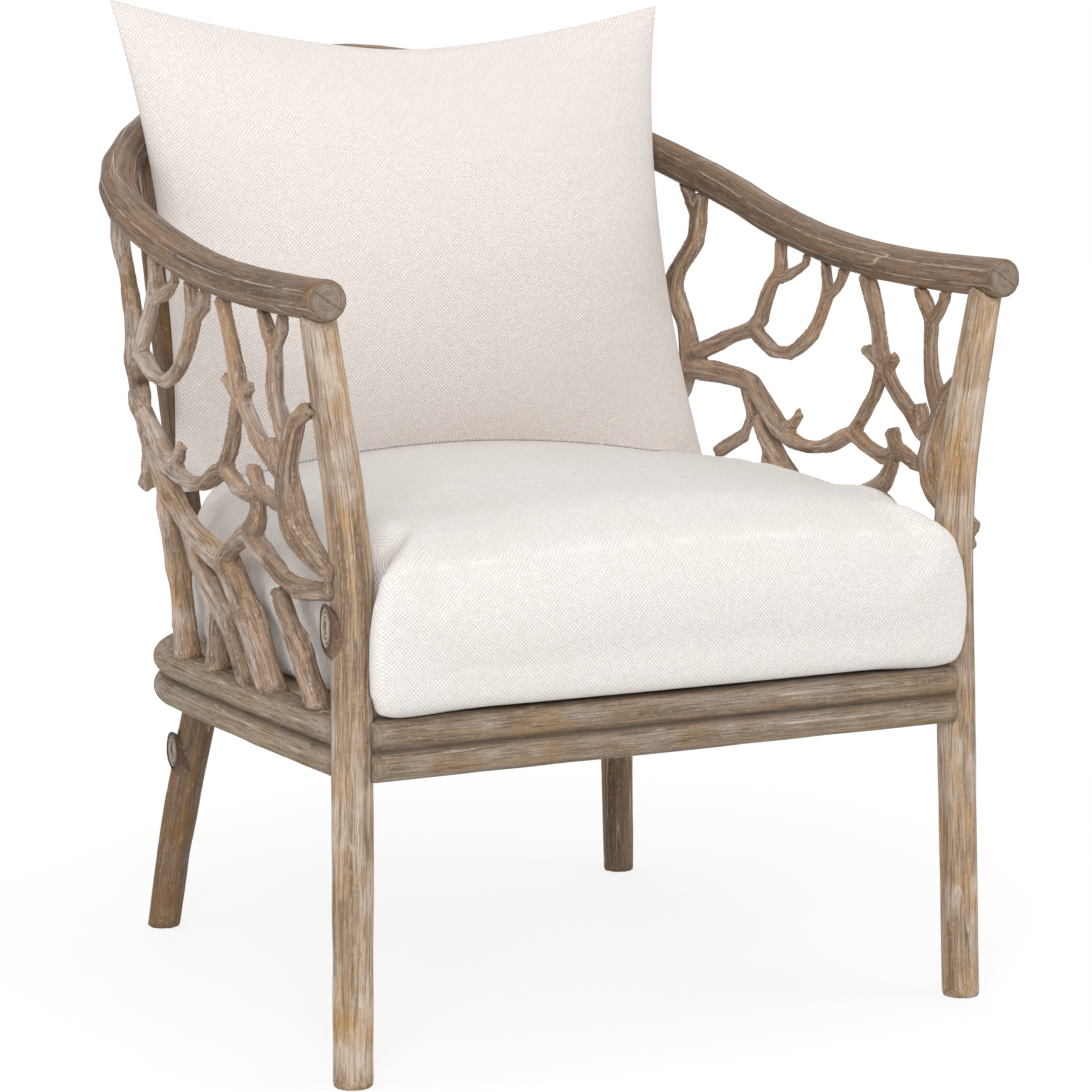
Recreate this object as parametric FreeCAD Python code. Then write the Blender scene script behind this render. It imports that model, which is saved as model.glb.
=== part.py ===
import FreeCAD, Part
import math
import os

os.makedirs("parts", exist_ok=True)
V = FreeCAD.Vector

# Overall sizes, in millimetres
arm_height = 640.0
crest_height = 829.0
rail_diameter = 34.0
rail_front_half = 319.6
rail_half_width = 321.0
rail_overhang = 15.0
rail_corner_depth = 247.0
rail_corner_flat = 21.0
rail_back = 664.0
rail_rise_power = 1.49
rail_joint = 0.79
rail_chamfer = 2.0

# Seat frame
seat_bottom = 250.0
bead_height = 24.5
bead_groove = 2.0
bead_reach = 15.0
rail_inner = 12.0
rail_end_gap = 10.0
rail_end_round = 9.0
seat_front_half = 292.0
seat_half_width = 301.0
seat_corner_depth = 198.0
seat_corner_flat = 33.0
seat_back = 562.0
deck_thickness = 12.0
deck_clearance = 1.0
block_height = 28.0
seat_top = seat_bottom + 2.0 * bead_height + bead_groove

# Posts and legs
post_radius = 17.5
post_top_radius = 14.5
post_set_back = 8.0
post_splay_side = 5.0
leg_top_radius = 17.4
leg_foot_radius = 15.2
leg_splay_side = 26.0
leg_splay_back = 53.0
stile_radius = 14.0
stile_place = 0.69
tenon_radius = 8.0
small_tenon_radius = 6.0
tenon_clearance = 0.15
knot_radius = 13.0
knot_proud = 12.0
front_knot_height = 374.0
rear_knot_height = 184.0

# Branch lattice
lattice_swell = 5.0
branch_flats = 8

# Seat cushion and back pillow
soft_clearance = 0.3
cushion_side_clearance = 21.0
cushion_post_clearance = 3.0
cushion_front = 30.0
cushion_crown = 172.0
pillow_half_width = 284.0
pillow_foot_half = 262.0
pillow_height = 455.0
pillow_dip = 46.0
pillow_foot_dip = 22.0
pillow_front_swell = 78.0
pillow_back_swell = 92.0
pillow_lean = 18.5

rail_radius = rail_diameter / 2.0
crest_rise = crest_height - arm_height
rail_corner_start = rail_back - rail_corner_depth
rail_corner_radius = rail_corner_depth - rail_corner_flat
seat_corner_start = seat_back - seat_corner_depth
seat_corner_radius = seat_corner_depth - seat_corner_flat


# Plan of a horseshoe: side arc, corner arc and back arc, all tangent
def plan_arcs(front_x, side_x, front_y, corner_y, corner_r, back_y):
    lean = side_x - front_x
    depth = corner_y - front_y
    side_r = (lean * lean + depth * depth) / (2.0 * lean)
    cx = side_x - corner_r
    drop = back_y - corner_y
    back_r = (cx * cx + drop * drop - corner_r * corner_r) / (2.0 * (drop - corner_r))
    turn = math.atan2(corner_y - (back_y - back_r), cx)
    side = (side_x - side_r, corner_y, side_r, -math.asin(depth / side_r), 0.0)
    corner = (cx, corner_y, corner_r, 0.0, turn)
    back = (0.0, back_y - back_r, back_r, turn, math.pi / 2.0)
    return [side, corner, back]


def plan_length(arcs):
    return sum(r * (a1 - a0) for cx, cy, r, a0, a1 in arcs)


def plan_at(arcs, fraction):
    left = fraction * plan_length(arcs)
    for cx, cy, r, a0, a1 in arcs:
        length = r * (a1 - a0)
        if left <= length or a1 > 1.5:
            break
        left -= length
    angle = a0 + left / r
    out = V(math.cos(angle), math.sin(angle), 0.0)
    return V(cx, cy, 0.0) + out * r, out


rail_arcs = plan_arcs(rail_front_half, rail_half_width, -rail_overhang, rail_corner_start,
                      rail_corner_radius, rail_back)
seat_arcs = plan_arcs(seat_front_half, seat_half_width, post_set_back, seat_corner_start,
                      seat_corner_radius, seat_back)
rail_length = plan_length(rail_arcs)
post_setback = rail_overhang + 10.0


# Centreline of the top rail, from the front end of an arm to the middle of the crest
def rail_at(f):
    mirrored = f > 1.0
    g = 2.0 - f if mirrored else f
    p, out = plan_at(rail_arcs, g)
    p.z = arm_height + crest_rise * (1.0 - math.cos(math.pi * max(g, 0.0) ** rail_rise_power)) / 2.0
    if mirrored:
        p.x = -p.x
    return p


def rail_fraction(u):
    return (post_setback + u * (rail_length - post_setback)) / rail_length


# Place on the lattice surface: u runs from the front post to the back, w rises from seat to rail
def panel(u, w):
    mirrored = u > 1.0
    g = 2.0 - u if mirrored else u
    base, out = plan_at(seat_arcs, g)
    base.z = seat_top
    top = rail_at(rail_fraction(g))
    p = base + (top - base) * w + out * (lattice_swell * 4.0 * w * (1.0 - w))
    if mirrored:
        p.x = -p.x
    return p


# Smooth row of points and radii through the given ones, with one more place between each two
def refine(points, radii):
    fine = []
    sizes = []
    last = len(points) - 1
    for i in range(last):
        before = points[max(i - 1, 0)]
        after = points[min(i + 2, last)]
        fine.append(points[i])
        sizes.append(radii[i])
        middle = (points[i] + points[i + 1]) * 0.5625 - (before + after) * 0.0625
        fine.append(middle)
        sizes.append((radii[i] + radii[i + 1]) / 2.0)
    return fine + [points[last]], sizes + [radii[last]]


# Wood through a row of points: a round section at each, or a carved one with the given count of flats
def round_loft(points, radii, flats=0, foot=None, head=None):
    count = len(points)
    wires = []
    side = None
    for i in range(count):
        before = points[max(i - 1, 0)]
        after = points[min(i + 1, count - 1)]
        along = after - before
        if i == 0 and foot is not None:
            along = V(foot.x, foot.y, foot.z)
        if i == count - 1 and head is not None:
            along = V(head.x, head.y, head.z)
        along.normalize()
        if side is None:
            side = V(0.0, 0.0, 1.0) if abs(along.z) < 0.8 else V(0.0, 1.0, 0.0)
        side = side - along * side.dot(along)
        side.normalize()
        other = along.cross(side)
        r = radii[i]
        if flats:
            ring = []
            for k in range(flats):
                turn = 2.0 * math.pi * k / flats
                ring.append(points[i] + side * (r * math.cos(turn)) + other * (r * math.sin(turn)))
            wires.append(Part.makePolygon(ring + [ring[0]]))
        else:
            rim = Part.Circle(points[i], along, r)
            rim.XAxis = side
            wires.append(Part.Wire([rim.toShape()]))
    return Part.makeLoft(wires, True, True)


def biggest(shape):
    solids = sorted(shape.Solids, key=lambda s: s.Volume)
    return solids[-1]


# Cut a piece back to the faces of the pieces that it stands against
def cope(piece, others):
    for other in others:
        if piece.BoundBox.intersect(other.BoundBox):
            piece = piece.cut(other)
    return biggest(piece)


def flip(shape):
    return shape.mirror(V(0.0, 0.0, 0.0), V(1.0, 0.0, 0.0))


def pin(start, direction, radius, length):
    return Part.makeCylinder(radius, length, start, direction)


# Cut branch end: an oval knot face, standing proud of a post on its outer side
def knot(center, surface_x):
    rise = V(math.cos(math.radians(32.0)), 0.0, math.sin(math.radians(32.0)))
    start = center - V(0.0, 0.0, math.tan(math.radians(32.0)) * (surface_x + knot_proud - center.x))
    stub = Part.makeCylinder(knot_radius, 120.0, start, rise)
    reach = surface_x + knot_proud - center.x
    keep = Part.makeBox(reach, 80.0, 120.0, V(center.x, center.y - 40.0, center.z - 60.0))
    return stub.common(keep)


# Double-bead section of the seat frame: outward distance against height
def bead_profile(place):
    low = seat_bottom
    mid = low + bead_height
    up = mid + bead_groove
    high = seat_top
    root = 4.0
    e1 = Part.LineSegment(place(-rail_inner, low), place(root, low)).toShape()
    e2 = Part.Arc(place(root, low), place(bead_reach, low + bead_height / 2.0), place(root, mid)).toShape()
    e3 = Part.LineSegment(place(root, mid), place(root, up)).toShape()
    e4 = Part.Arc(place(root, up), place(bead_reach, up + bead_height / 2.0), place(root, high)).toShape()
    e5 = Part.LineSegment(place(root, high), place(-rail_inner, high)).toShape()
    e6 = Part.LineSegment(place(-rail_inner, high), place(-rail_inner, low)).toShape()
    return Part.Face(Part.Wire([e1, e2, e3, e4, e5, e6]))


def bead_turn(arc, start, end):
    cx, cy, r, a0, a1 = arc
    c = math.cos(start)
    s = math.sin(start)
    face = bead_profile(lambda n, z: V(cx + (r + n) * c, cy + (r + n) * s, z))
    return face.revolve(V(cx, cy, 0.0), V(0.0, 0.0, 1.0), math.degrees(end - start))


# Slab with rounded front corners, which rounds the bead ends of the front rail
def rounded_slab(half):
    low = seat_bottom
    face_y = -bead_reach
    turn = rail_end_round
    bulge = turn * (1.0 - math.sqrt(0.5))
    edges = []
    for sign in (1.0, -1.0):
        start = V(sign * half, face_y + turn, low)
        middle = V(sign * (half - bulge), face_y + bulge, low)
        end = V(sign * (half - turn), face_y, low)
        edges.append(Part.Arc(start, middle, end).toShape())
        edges.append(Part.LineSegment(start, V(sign * half, rail_inner, low)).toShape())
    edges.append(Part.LineSegment(V(half - turn, face_y, low), V(turn - half, face_y, low)).toShape())
    edges.append(Part.LineSegment(V(half, rail_inner, low), V(-half, rail_inner, low)).toShape())
    outline = Part.Wire(Part.__sortEdges__(edges))
    return Part.Face(outline).extrude(V(0.0, 0.0, seat_top - low))


def make_seat_frame():
    side, corner, back = seat_arcs
    half = corner[4] / 2.0
    side_rail = bead_turn(side, side[3], side[4])
    side_rail = side_rail.fuse(bead_turn(corner, corner[3], half))
    rear = bead_turn(back, back[3], math.pi - back[3])
    bend = bead_turn(corner, half, corner[4])
    rear = rear.multiFuse([bend, flip(bend)])
    half = seat_front_half - rail_end_gap
    face = bead_profile(lambda n, z: V(-half, -n, z))
    front = face.extrude(V(2.0 * half, 0.0, 0.0))
    return front.common(rounded_slab(half)), biggest(side_rail), biggest(rear)


# Horseshoe top rail in three lengths that meet face to face
def make_top_rail():
    cut = rail_at(rail_joint + 0.01) - rail_at(rail_joint - 0.01)
    far_cut = V(cut.x, -cut.y, -cut.z)
    nose = rail_at(0.0)
    ahead = nose - rail_at(0.01)
    ahead.normalize()
    line = [nose, nose - ahead * rail_chamfer]
    line += [rail_at(rail_joint * i / 14.0) for i in range(1, 15)]
    arm = round_loft(line, [rail_radius - rail_chamfer] + [rail_radius] * 15, 0, None, cut)
    span = 2.0 * (1.0 - rail_joint)
    line = [rail_at(rail_joint + span * i / 12.0) for i in range(13)]
    crest = round_loft(line, [rail_radius] * 13, 0, cut, far_cut)
    return arm, crest


# Axis of a front post below its bend, leaning in and back from the foot
def post_at(z):
    rise = z / (seat_bottom + bead_height / 2.0)
    return V(seat_front_half + post_splay_side * (1.0 - rise), post_set_back * rise, z)


def make_front_post():
    top = rail_at(rail_fraction(0.0))
    tall = top.z - seat_top
    bend = post_at(seat_top + tall * 0.34)
    axis = bend - post_at(0.0)
    axis.normalize()
    out = top.x - bend.x
    rows = [(0.34, 0.0, 0.0, post_radius), (0.54, 0.19, 1.5, post_radius - 0.6)]
    rows.append((0.76, 0.56, 1.0, post_radius - 1.8))
    rows.append((1.0, 1.0, top.y - bend.y, post_top_radius))
    points = [V(bend.x + out * a, bend.y + back, seat_top + tall * h) for h, a, back, r in rows]
    line, radii = refine(points, [r for h, a, back, r in rows])
    flare = round_loft(line, radii, 0, axis)
    below = post_at(-20.0)
    shank = Part.makeCone(post_radius - 1.0, post_radius, (bend - below).Length, below, axis)
    floor = Part.makeBox(200.0, 200.0, 60.0, V(bend.x - 100.0, bend.y - 100.0, -60.0))
    post = shank.cut(floor).fuse(flare)
    level = post_at(front_knot_height)
    stub = knot(level, level.x + post_radius)
    return biggest(post), points, stub


def make_rear_leg():
    head, out = plan_at(seat_arcs, stile_place)
    rows = [(0.0, 1.0, 1.0, leg_foot_radius), (0.30, 0.72, 0.80, leg_foot_radius + 0.6)]
    rows.append((0.62, 0.35, 0.52, leg_foot_radius + 1.6))
    rows.append((0.85, 0.10, 0.20, leg_top_radius - 0.8))
    rows.append((1.0, 0.0, 0.0, leg_top_radius))
    points = [V(head.x + leg_splay_side * a, head.y + leg_splay_back * b, seat_bottom * h)
              for h, a, b, r in rows]
    low = points[0] - (points[1] - points[0]) * 0.2
    high = V(head.x, head.y, seat_bottom * 1.12)
    radii = [leg_foot_radius] + [r for h, a, b, r in rows] + [leg_top_radius]
    leg = round_loft([low] + points + [high], radii)
    slab = Part.makeBox(300.0, 300.0, seat_bottom, V(head.x - 150.0, head.y - 150.0, 0.0))
    leg = leg.common(slab)
    middle = V(head.x + leg_splay_side * 0.22, head.y + leg_splay_back * 0.40, rear_knot_height)
    return biggest(leg), head, knot(middle, middle.x + leg_top_radius - 1.5)


# One branch: rows of run, rise and radius, with its own side shoots fused in
def branch(rows, shoots=()):
    line, radii = refine([panel(u, w) for u, w, r in rows], [r for u, w, r in rows])
    body = round_loft(line, radii, branch_flats)
    for shoot in shoots:
        extra = round_loft([panel(u, w) for u, w, r in shoot], [r for u, w, r in shoot], branch_flats)
        body = biggest(body.fuse(extra))
    return body


def make_side_branches():
    rows = {}
    rows["front_trunk"] = branch(
        [(0.0, .736, 7.0), (.015, .738, 7.0), (.054, .709, 8.0), (.076, .641, 9.0),
         (.09, .562, 11.0), (.09, .492, 11.5), (.074, .422, 11.0), (.036, .376, 9.5),
         (0.0, .346, 9.0)],
        [[(.09, .532, 7.0), (.111, .587, 7.0), (.122, .641, 6.5)]])
    rows["rear_upright"] = branch(
        [(.593, .515, 11.5), (.591, .564, 10.5), (.596, .627, 9.5), (.61, .691, 9.0),
         (.602, .755, 8.5), (.577, .837, 8.5), (.571, .908, 8.0), (.563, .969, 6.5),
         (.576, 1.0, 6.0)],
        [[(.573, .896, 6.0), (.591, .96, 5.5), (.621, 1.0, 5.0)],
         [(.593, .535, 10.0), (.597, .496, 9.0), (.605, .453, 8.0)]])
    rows["wave_branch"] = branch(
        [(.09, .487, 7.5), (.126, .487, 7.0), (.157, .503, 7.0), (.193, .483, 7.0),
         (.229, .497, 7.0), (.261, .519, 8.0), (.301, .479, 7.5), (.343, .451, 7.0),
         (.394, .446, 8.0), (.433, .474, 9.0), (.471, .523, 9.0), (.508, .547, 10.0),
         (.593, .525, 10.0)],
        [[(.162, .498, 6.5), (.172, .528, 7.0), (.177, .558, 7.0)],
         [(.418, .462, 6.5), (.392, .491, 6.0), (.376, .526, 5.5)],
         [(.5, .538, 7.0), (.488, .466, 6.5), (.507, .406, 6.5), (.553, .346, 6.0)]])
    rows["front_fork"] = branch(
        [(.078, .626, 8.0), (.09, .67, 8.0), (.102, .739, 7.5), (.104, .807, 7.5), (.103, .87, 7.0),
         (.121, .928, 6.0), (.136, 1.0, 5.5)],
        [[(.102, .86, 5.5), (.081, .918, 5.5), (.068, 1.0, 5.0)]])
    rows["second_upright"] = branch(
        [(.237, 1.0, 6.0), (.22, .905, 6.5), (.205, .809, 7.0), (.194, .721, 8.0),
         (.169, .662, 7.5), (.134, .607, 7.5), (.09, .547, 8.0)],
        [[(.194, .731, 6.5), (.218, .634, 6.5), (.238, .574, 6.5), (.264, .52, 6.5)],
         [(.195, .712, 6.0), (.181, .736, 6.0), (.171, .758, 5.5)],
         [(.193, .712, 6.0), (.216, .739, 6.0), (.232, .759, 5.5)]])
    rows["diagonal_branch"] = branch(
        [(.593, .525, 9.5), (.584, .565, 9.0), (.486, .68, 8.0), (.457, .757, 7.5),
         (.433, .828, 7.5), (.413, .889, 6.5), (.411, 1.0, 5.5)],
        [[(.43, .838, 5.5), (.391, .877, 5.5), (.359, .921, 5.0), (.347, 1.0, 5.0)]])
    rows["cup_branch"] = branch(
        [(.483, .685, 7.0), (.443, .655, 7.0), (.401, .668, 7.0), (.363, .716, 7.0),
         (.336, .774, 7.0), (.319, .84, 7.0), (.311, .906, 6.0), (.32, 1.0, 5.5)],
        [[(.318, .85, 5.5), (.286, .906, 5.5), (.264, 1.0, 5.0)]])
    rows["main_foot"] = branch(
        [(.475, .47, 7.0), (.46, .436, 8.5), (.425, .385, 9.5), (.377, .327, 9.5),
         (.324, .301, 10.0), (.282, .279, 10.5), (.258, .228, 10.5), (.232, .154, 10.5),
         (.196, -.02, 10.5)])
    rows["second_foot"] = branch(
        [(.389, .337, 8.5), (.362, .25, 9.0), (.322, .178, 9.0), (.283, .102, 9.5),
         (.254, -.02, 9.5)],
        [[(.32, .172, 6.5), (.345, .096, 6.5), (.357, -.02, 6.5)]])
    rows["rear_foot"] = branch(
        [(.446, .39, 8.0), (.436, .304, 8.5), (.439, .187, 8.5), (.451, -.02, 9.0)],
        [[(.483, -.02, 8.0), (.533, .033, 8.0), (.528, .111, 8.0), (.577, .167, 8.0),
          (.591, .196, 7.5)]])
    rows["link"] = branch(
        [(.172, .491, 6.5), (.182, .432, 7.0), (.21, .383, 7.5), (.247, .345, 7.5),
         (.281, .305, 7.5)])
    rows["bowl"] = branch(
        [(0.0, .305, 7.5), (.019, .305, 7.5), (.073, .289, 7.5), (.125, .299, 7.5),
         (.169, .345, 7.5), (.211, .383, 7.0)])
    rows["front_foot"] = branch(
        [(.146, .27, 7.0), (.127, .196, 7.5), (.1, .113, 8.0), (.079, -.02, 8.5)])
    return rows


def make_back_branches():
    rows = {}
    rows["back_wave"] = branch(
        [(.69, .50, 8.0), (.75, .525, 8.5), (.82, .50, 9.0), (.88, .455, 9.0), (.94, .45, 9.0),
         (1.0, .48, 9.5), (1.06, .525, 9.0), (1.12, .535, 9.0), (1.18, .505, 9.0), (1.24, .47, 8.5),
         (1.31, .48, 8.0)],
        [[(.87, .46, 6.0), (.86, .515, 6.0), (.865, .56, 5.5)],
         [(1.11, .53, 6.0), (1.12, .475, 6.0), (1.11, .43, 5.5)]])
    rows["back_upright_a"] = branch(
        [(.815, .505, 8.0), (.80, .60, 7.5), (.815, .70, 7.5), (.80, .80, 7.5), (.81, .90, 6.5),
         (.805, 1.0, 6.0)],
        [[(.80, .79, 5.5), (.775, .88, 5.5), (.757, 1.0, 5.0)]])
    rows["back_upright_b"] = branch(
        [(.935, .452, 8.0), (.918, .55, 7.5), (.90, .65, 7.5), (.912, .75, 7.5), (.90, .86, 6.5),
         (.892, 1.0, 6.0)],
        [[(.912, .75, 5.5), (.938, .87, 5.5), (.948, 1.0, 5.0)],
         [(.905, .62, 6.0), (.88, .66, 6.0), (.87, .70, 5.5)]])
    rows["back_upright_c"] = branch(
        [(1.045, .512, 8.0), (1.035, .61, 7.5), (1.02, .71, 7.5), (1.0, .80, 7.5), (.995, .90, 6.5),
         (1.002, 1.0, 6.0)],
        [[(1.003, .79, 5.5), (1.035, .89, 5.5), (1.05, 1.0, 5.0)]])
    rows["back_upright_d"] = branch(
        [(1.175, .508, 8.0), (1.168, .60, 7.5), (1.19, .70, 7.5), (1.175, .81, 7.5), (1.192, .91, 6.5),
         (1.188, 1.0, 6.0)],
        [[(1.176, .80, 5.5), (1.14, .89, 5.5), (1.118, 1.0, 5.0)]])
    rows["back_foot_a"] = branch(
        [(.80, .508, 8.0), (.785, .40, 8.0), (.80, .28, 8.0), (.79, .15, 8.5), (.80, -.02, 9.0)],
        [[(.793, .30, 6.0), (.825, .35, 6.0), (.84, .39, 5.5)]])
    rows["back_foot_b"] = branch(
        [(.985, .472, 8.5), (.975, .36, 8.5), (1.0, .24, 8.5), (.985, .12, 8.5), (1.0, -.02, 9.0)],
        [[(.99, .27, 6.5), (1.03, .17, 6.5), (1.06, .08, 6.5), (1.075, -.02, 7.0)]])
    rows["back_foot_c"] = branch(
        [(1.205, .488, 8.0), (1.215, .39, 8.0), (1.195, .27, 8.0), (1.205, .15, 8.5), (1.19, -.02, 9.0)])
    return rows


# Board under the cushion
def make_deck():
    inset = rail_inner + deck_clearance
    arcs = plan_arcs(seat_front_half - inset, seat_half_width - inset, inset, seat_corner_start,
                     seat_corner_radius - inset, seat_back - inset)
    edges = []
    level = seat_top - deck_thickness
    for flipped in (1.0, -1.0):
        for cx, cy, r, a0, a1 in arcs:
            spots = []
            for a in (a0, (a0 + a1) / 2.0, a1):
                spots.append(V(flipped * (cx + r * math.cos(a)), cy + r * math.sin(a), level))
            edges.append(Part.Arc(spots[0], spots[1], spots[2]).toShape())
    first, out = plan_at(arcs, 0.0)
    left = V(first.x, first.y, level)
    right = V(-first.x, first.y, level)
    edges.append(Part.LineSegment(left, right).toShape())
    outline = Part.Wire(Part.__sortEdges__(edges))
    deck = Part.Face(outline).extrude(V(0.0, 0.0, deck_thickness))
    for sign in (1.0, -1.0):
        at = post_at(seat_top)
        gap = post_radius + 2.0 * deck_clearance
        notch = Part.makeCylinder(gap, 400.0, V(sign * at.x, at.y, 100.0))
        deck = deck.cut(notch)
    return deck


def prism(corners, low, height):
    ring = [V(x, y, low) for x, y in corners]
    return Part.Face(Part.makePolygon(ring + [ring[0]])).extrude(V(0.0, 0.0, height))


def make_blocks(front, side, rear, post):
    low = seat_top - deck_thickness - block_height
    x = seat_front_half
    first = prism([(x, 0.0), (x - 95.0, 0.0), (x, 95.0)], low, block_height)
    first = cope(first, [front, side, post])
    spots = [plan_at(seat_arcs, f)[0] for f in (0.53, 0.62, 0.68, 0.74, 0.83)]
    second = prism([(p.x, p.y) for p in spots], low, block_height)
    second = cope(second, [side, rear])
    return first, second


# Crowned seat cushion, from front to back: depth, half width, foot, height and crown of each section
def make_cushion():
    inset = cushion_side_clearance
    inner = post_at(seat_top + cushion_crown * 0.75).x - post_radius - cushion_post_clearance
    lobe = inner + post_radius
    base = seat_top + soft_clearance
    tail = seat_back - inset
    corner = seat_corner_start
    wide = seat_half_width - inset
    rows = [(-cushion_front, lobe - 14.0, 16.0, 94.0, 3.0)]
    rows.append((-cushion_front + 3.0, lobe - 5.0, 8.0, 106.0, 5.0))
    rows.append((-cushion_front + 11.0, lobe, 2.0, 121.0, 8.0))
    rows.append((-cushion_front + 18.0, lobe - 4.0, 0.0, 130.0, 10.0))
    rows.append((-cushion_front + 27.0, inner + 4.0, 0.0, 138.0, 12.0))
    rows.append((post_set_back, inner, 0.0, 144.0, 14.0))
    rows.append((post_set_back + post_radius + 8.0, inner, 0.0, 154.0, 17.0))
    rows.append((post_radius + 78.0, (inner + wide) / 2.0, 0.0, 164.0, 22.0))
    rows.append((corner * 0.52, wide - 3.0, 0.0, cushion_crown, 27.0))
    rows.append((corner - 30.0, wide, 0.0, cushion_crown, 30.0))
    rows.append((corner + (tail - corner) * 0.40, wide - 24.0, 0.0, cushion_crown - 3.0, 30.0))
    rows.append((corner + (tail - corner) * 0.62, wide - 74.0, 0.0, cushion_crown - 8.0, 25.0))
    rows.append((corner + (tail - corner) * 0.80, wide - 124.0, 0.0, cushion_crown - 16.0, 19.0))
    rows.append((corner + (tail - corner) * 0.94, wide - 166.0, 0.0, cushion_crown - 30.0, 12.0))
    rows.append((tail, wide - 196.0, 10.0, cushion_crown - 58.0, 6.0))
    sections = []
    for y, half, foot, tall, crown in rows:
        low = base + foot
        high = base + tall
        brow = high - crown
        spots = []
        for sign in (1.0, -1.0):
            spots.append(V(sign * (half - 7.0), y, low))
            spots.append(V(sign * half, y, low + (brow - low) * 0.45))
            spots.append(V(sign * (half - 6.0), y, low + (brow - low) * 0.86))
            spots.append(V(sign * (half - 17.0), y, low + (brow - low) * 1.01))
            spots.append(V(sign * (half - 44.0), y, brow + crown * 0.22))
        a, b, c, d, e, k, l, m, n, o = spots
        edges = [Part.LineSegment(k, a).toShape(), Part.Arc(a, b, c).toShape(), Part.Arc(c, d, e).toShape()]
        edges.append(Part.Arc(e, V(0.0, y, high), o).toShape())
        edges.append(Part.Arc(o, n, m).toShape())
        edges.append(Part.Arc(m, l, k).toShape())
        sections.append(Part.Wire(edges))
    cushion = Part.makeLoft(sections, True, False)
    under = Part.makeBox(800.0, 800.0, 60.0, V(-400.0, -100.0, base - 60.0))
    return biggest(cushion.cut(under))


# Loose knife-edge pillow, standing on its lower edge before it is leaned back
def make_pillow():
    rows = [(0.0, 1.0, 1.0), (0.38, 0.92, 0.62), (0.70, 0.68, 0.22), (0.90, 0.34, 0.05), (1.0, 0.07, 0.0)]
    marks = [(-a, b, c) for a, b, c in reversed(rows[1:])] + rows
    sections = []
    for across, thick, dip in marks:
        low = V(across * pillow_foot_half, 0.0, pillow_foot_dip * dip)
        high = V(across * pillow_half_width, 0.0, pillow_height - pillow_dip * dip)
        share = 0.5 - 12.0 / (high.z - low.z)
        level = low.z + (high.z - low.z) * share
        x = low.x + (high.x - low.x) * share
        front = Part.Arc(low, V(x, -pillow_front_swell * thick, level), high).toShape()
        rear = Part.Arc(high, V(x, pillow_back_swell * thick, level), low).toShape()
        sections.append(Part.Wire([front, rear]))
    pillow = Part.makeLoft(sections, True, False)
    pillow.rotate(V(0.0, 0.0, 0.0), V(1.0, 0.0, 0.0), -pillow_lean)
    return pillow


# Lower the pillow on to the seat and push it against the back, leaving the soft clearance
def settle(pillow, seat, behind):
    pillow.translate(V(0.0, seat_back * 0.55, seat_top + cushion_crown + 40.0))
    for step in range(6):
        drop = pillow.distToShape(seat)[0] - soft_clearance
        pillow.translate(V(0.0, 0.0, -drop * 0.97))
        push = min(pillow.distToShape(piece)[0] for piece in behind) - soft_clearance
        pillow.translate(V(0.0, push * 0.97, 0.0))
    return pillow


nodes = {}
front_rail, side_rail, rear_rail = make_seat_frame()
arm, crest = make_top_rail()
post, post_line, post_knot = make_front_post()
leg, leg_head, leg_knot = make_rear_leg()

# Front post: coped under the arm rail and tenoned into it, seat rails tenoned into the post
post_axis = post_line[-1] - post_line[-2]
post_axis.normalize()
post_pin_start = post_line[-1] - post_axis * 45.0
post = cope(post, [arm]).fuse(pin(post_pin_start, post_axis, tenon_radius, 52.0))
arm = arm.cut(pin(post_pin_start, post_axis, tenon_radius + tenon_clearance, 52.5))
post = biggest(post)
front_pin_z = seat_top - bead_height / 2.0
side_pin_z = seat_bottom + bead_height / 2.0
front_pin_x = seat_front_half - post_radius - 20.0
front_pin_y = post_set_back / 2.0
front_rail = cope(front_rail, [post, flip(post)])
side_rail = cope(side_rail, [post])
front_tenon = pin(V(front_pin_x, front_pin_y, front_pin_z), V(1.0, 0.0, 0.0), small_tenon_radius, 32.0)
front_socket = pin(V(front_pin_x, front_pin_y, front_pin_z), V(1.0, 0.0, 0.0),
                   small_tenon_radius + tenon_clearance, 32.5)
side_start = V(seat_front_half, post_set_back + post_radius + 20.0, side_pin_z)
side_tenon = pin(side_start, V(0.0, -1.0, 0.0), small_tenon_radius, 32.0)
side_socket = pin(side_start, V(0.0, -1.0, 0.0), small_tenon_radius + tenon_clearance, 32.5)
post = post.cut(front_socket).cut(side_socket)
front_rail = biggest(front_rail.multiFuse([front_tenon, flip(front_tenon)]))
side_rail = biggest(side_rail.fuse(side_tenon))

# Rear leg and stile: both tenoned into the rear seat rail
up = V(0.0, 0.0, 1.0)
leg_pin = V(leg_head.x, leg_head.y, seat_bottom - 20.0)
leg = biggest(leg.fuse(pin(leg_pin, up, tenon_radius, 42.0)))
rear_rail = rear_rail.cut(pin(leg_pin, up, tenon_radius + tenon_clearance, 42.5))
stile_marks = (0.0, .25, .5, .75, .9, 1.0)
stile_line = [panel(stile_place, w) for w in stile_marks]
stile_radii = [stile_radius - 2.0 * w for w in stile_marks]
stile = round_loft(stile_line, stile_radii, 0, V(0.0, 0.0, 1.0))
stile_axis = stile_line[-1] - stile_line[-2]
stile_axis.normalize()
stile_pin_start = stile_line[-1] - stile_axis * 45.0
stile = cope(stile, [arm, crest])
stile_foot_pin = V(leg_head.x, leg_head.y, seat_top + 12.0)
down = V(0.0, 0.0, -1.0)
stile = stile.fuse(pin(stile_pin_start, stile_axis, tenon_radius, 52.0))
stile = biggest(stile.fuse(pin(stile_foot_pin, down, small_tenon_radius, 30.0)))
arm = arm.cut(pin(stile_pin_start, stile_axis, tenon_radius + tenon_clearance, 52.5))
foot_socket = pin(stile_foot_pin, down, small_tenon_radius + tenon_clearance, 30.5)
leg_socket = pin(leg_pin, up, tenon_radius + tenon_clearance, 42.5)
rear_rail = rear_rail.cut(foot_socket)
rear_rail = biggest(rear_rail.cut(flip(foot_socket)).cut(flip(leg_socket)))

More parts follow.
